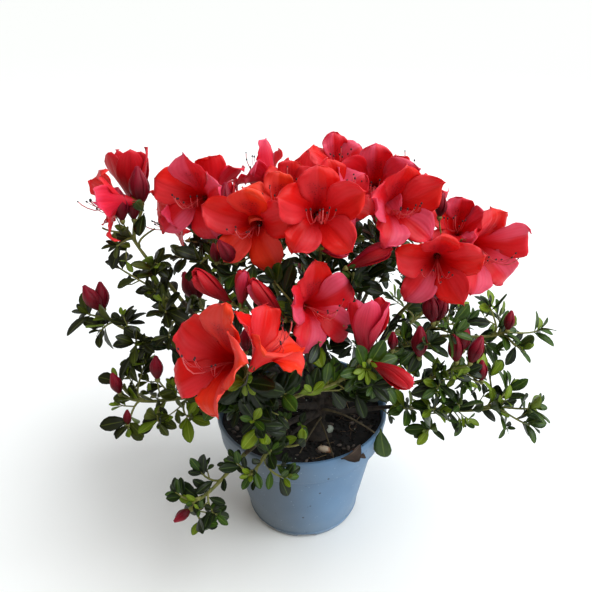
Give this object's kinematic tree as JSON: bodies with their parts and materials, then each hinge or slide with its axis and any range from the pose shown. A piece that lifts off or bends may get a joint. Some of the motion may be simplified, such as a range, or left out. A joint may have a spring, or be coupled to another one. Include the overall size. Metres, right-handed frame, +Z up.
{
  "type": "potted azalea shrub",
  "caption": "Small flowering azalea shrub with a short woody trunk, spreading leafy sprays and red funnel blossoms, in a tapered plastic nursery pot filled with dark soil.",
  "frame": {"origin": "centre of the pot's flat underside", "axes": "+Z up along the pot's axis, +X towards the right of the view in the picture and -Y towards its camera"},
  "size_m": [0.3699, 0.2672, 0.2941],
  "materials": {
    "pot": "blue-grey moulded plastic, satin, with fine specks and scuffs",
    "soil": "dark damp peat with small stones and roots",
    "bark": "rough grey-brown bark",
    "foliage": "leathery dark green leaves with red blossoms"
  },
  "bodies": {
    "root": {"pot": "pot", "soil": "soil", "trunk": "bark", "bough_centre": "bark", "bough_centre_left": "bark", "bough_top_back": "bark", "bough_back_top_left": "bark", "bough_red_right": "bark", "bough_front": "bark", "bough_upper_left": "bark", "bough_top_left": "bark", "bough_left": "bark", "bough_mid_left": "bark", "bough_low_left": "bark", "bough_front_left": "bark", "bough_front_right": "bark", "bough_front_low": "bark", "bough_hanging_left": "bark", "bough_right": "bark", "bough_upper_right": "bark", "bough_mid_right": "bark", "bough_right_low": "bark", "bough_far_right": "bark", "bough_low_right": "bark", "bough_back_left": "bark", "bough_back_mid": "bark", "bough_back_right": "bark", "bough_back_low_left": "bark", "bough_back_low": "bark", "bough_back_low_right": "bark", "foliage_centre": "foliage", "foliage_centre_left": "foliage", "foliage_top_back": "foliage", "foliage_back_top_left": "foliage", "foliage_red_right": "foliage", "foliage_front": "foliage", "foliage_upper_left": "foliage", "foliage_top_left": "foliage", "foliage_left": "foliage", "foliage_mid_left": "foliage", "foliage_low_left": "foliage", "foliage_front_left": "foliage", "foliage_front_right": "foliage", "foliage_front_low": "foliage", "foliage_hanging_left": "foliage", "foliage_right": "foliage", "foliage_upper_right": "foliage", "foliage_mid_right": "foliage", "foliage_right_low": "foliage", "foliage_far_right": "foliage", "foliage_low_right": "foliage", "foliage_back_left": "foliage", "foliage_back_mid": "foliage", "foliage_back_right": "foliage", "foliage_back_low_left": "foliage", "foliage_back_low": "foliage", "foliage_back_low_right": "foliage"}
  },
  "joints": []
}
